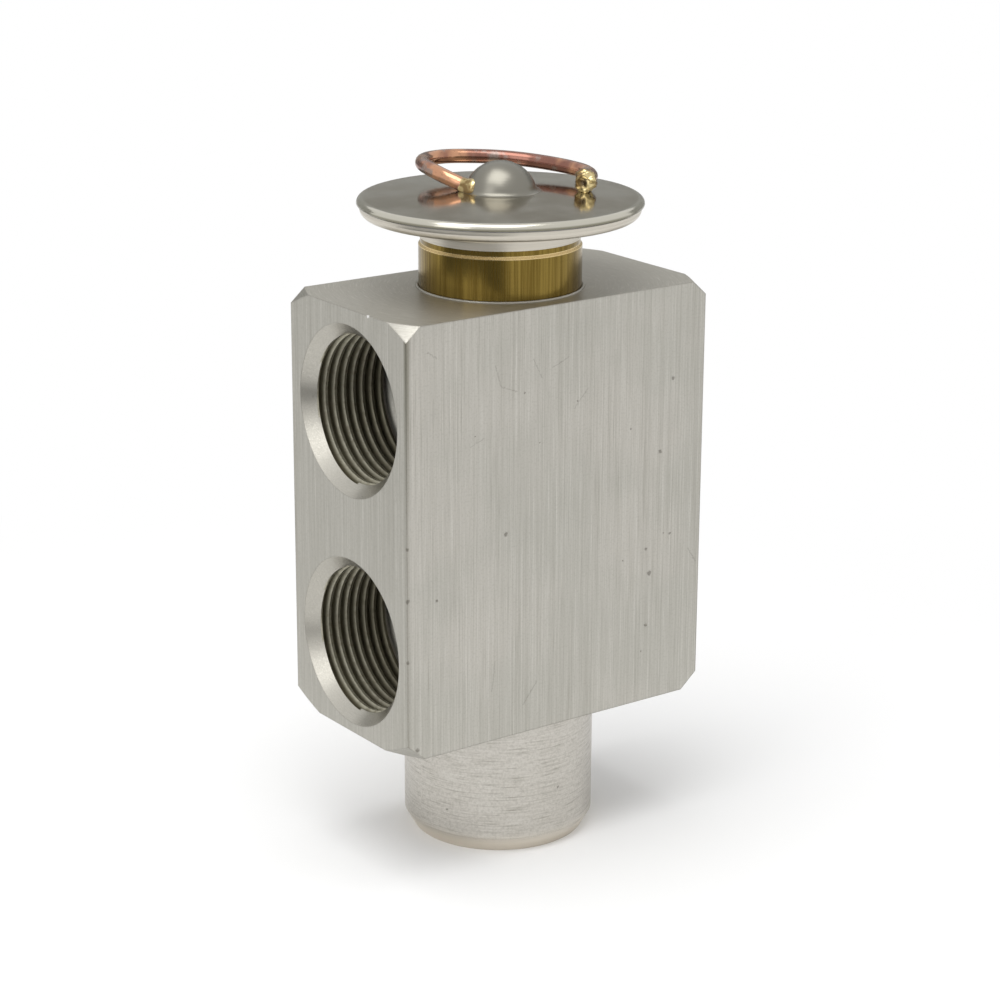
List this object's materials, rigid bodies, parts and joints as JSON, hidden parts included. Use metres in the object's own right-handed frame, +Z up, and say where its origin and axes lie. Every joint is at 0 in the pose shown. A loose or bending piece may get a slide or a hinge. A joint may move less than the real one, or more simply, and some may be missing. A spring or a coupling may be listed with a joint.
{
  "type": "block expansion valve",
  "caption": "Aluminium block expansion valve with threaded ports on both narrow ends, a turned spigot below and a diaphragm power head with a copper charging tube above",
  "frame": {"origin": "centre of the spigot's flat bottom face", "axes": "X runs along the four ports with the low inlet port's end at -X, Y across the block's two wide faces with the one seen in the picture at -Y, Z up from the spigot to the power head"},
  "size_m": [0.05, 0.0392, 0.0961],
  "materials": {
    "body_aluminium": "drawn bar, turned top and spigot",
    "rod_aluminium": "turned",
    "inner_steel": "stainless",
    "screw_steel": "turned",
    "cover_steel": "pressed, bright on top, satin below",
    "collar_brass": "turned",
    "braze_metal": "as cast",
    "tube_copper": "drawn copper, dulled",
    "seal_rubber": "moulded"
  },
  "bodies": {
    "block": {"valve_body": "body_aluminium", "seat_ring": "inner_steel", "rod_seal": "seal_rubber", "seal_retainer": "inner_steel", "brass_collar": "collar_brass", "collar_seal": "seal_rubber", "lower_cover": "cover_steel", "diaphragm": "inner_steel", "superheat_spring": "inner_steel", "upper_cover": "cover_steel", "charging_tube": "tube_copper", "tube_braze": "braze_metal", "tube_tip": "braze_metal"},
    "stem": {"thrust_plate": "inner_steel", "sensing_rod": "rod_aluminium", "push_pin": "inner_steel", "valve_ball": "inner_steel", "ball_carrier": "inner_steel", "damping_spring": "inner_steel"},
    "screw": {"adjusting_screw": "screw_steel", "screw_seal": "seal_rubber"},
    "seat_plate": {"spring_seat": "inner_steel"}
  },
  "joints": [
    {"name": "stem_travel", "type": "slide", "parent": "block", "child": "stem", "axis": [0, 0, -1], "range_m": [0, 0.0008], "stiffness_N_per_m": 800, "deforming": ["superheat_spring", "diaphragm"]},
    {"name": "screw_turn", "type": "hinge", "parent": "seat_plate", "child": "screw", "pos_m": [0, 0, 0.006], "axis": [0, 0, 1], "range_deg": [-360, 360]},
    {"name": "screw_travel", "type": "slide", "parent": "block", "child": "seat_plate", "axis": [0, 0, 1], "range_m": [-0.001, 0.001], "deforming": ["superheat_spring"]}
  ],
  "couplings": [
    {"joint": "screw_turn", "follows": "screw_travel", "rad_per_m": 6283.2}
  ]
}
